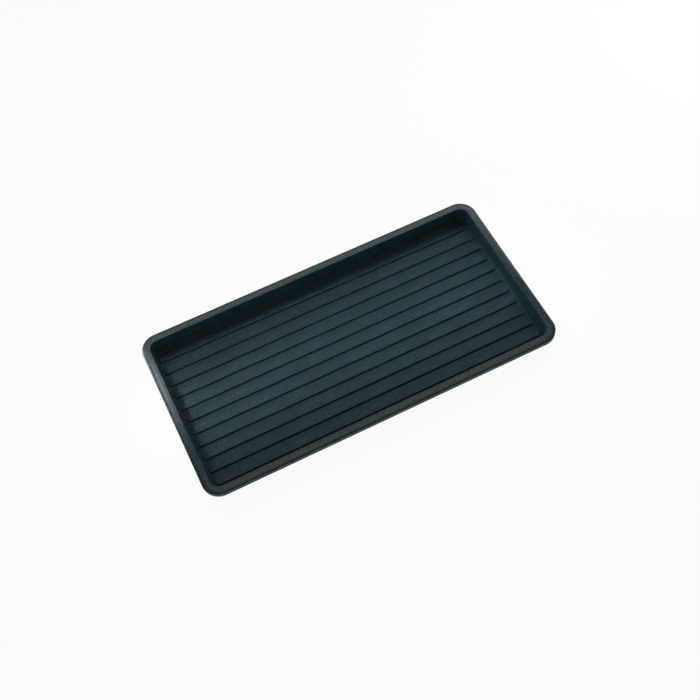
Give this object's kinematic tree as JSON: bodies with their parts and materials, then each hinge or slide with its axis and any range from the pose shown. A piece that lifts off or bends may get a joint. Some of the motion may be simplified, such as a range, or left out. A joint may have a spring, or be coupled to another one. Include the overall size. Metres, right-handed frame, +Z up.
{
  "type": "microgreen growing tray",
  "caption": "Shallow rectangular growing tray with a ridged floor, sloping walls, rounded corners and a wide turned-down rim, for raising microgreens and seedlings.",
  "frame": {"origin": "on the ground under the middle of the tray, in the plane of its underside", "axes": "+X along the tray to the right, +Y across it to the rear, +Z up out of the open top"},
  "size_m": [0.541, 0.275, 0.028],
  "materials": {
    "tray_plastic": "moulded polypropylene, dark blue-black, satin"
  },
  "bodies": {
    "root": {"floor_plate": "tray_plastic", "floor_ridge_01": "tray_plastic", "floor_ridge_02": "tray_plastic", "floor_ridge_03": "tray_plastic", "floor_ridge_04": "tray_plastic", "floor_ridge_05": "tray_plastic", "floor_ridge_06": "tray_plastic", "floor_ridge_07": "tray_plastic", "floor_ridge_08": "tray_plastic", "floor_ridge_09": "tray_plastic", "floor_ridge_10": "tray_plastic", "floor_ridge_11": "tray_plastic", "wall_front": "tray_plastic", "wall_rear": "tray_plastic", "wall_left": "tray_plastic", "wall_right": "tray_plastic", "wall_corner_front_left": "tray_plastic", "wall_corner_front_right": "tray_plastic", "wall_corner_rear_left": "tray_plastic", "wall_corner_rear_right": "tray_plastic", "rim_front": "tray_plastic", "rim_rear": "tray_plastic", "rim_left": "tray_plastic", "rim_right": "tray_plastic", "rim_corner_front_left": "tray_plastic", "rim_corner_front_right": "tray_plastic", "rim_corner_rear_left": "tray_plastic", "rim_corner_rear_right": "tray_plastic"}
  },
  "joints": []
}
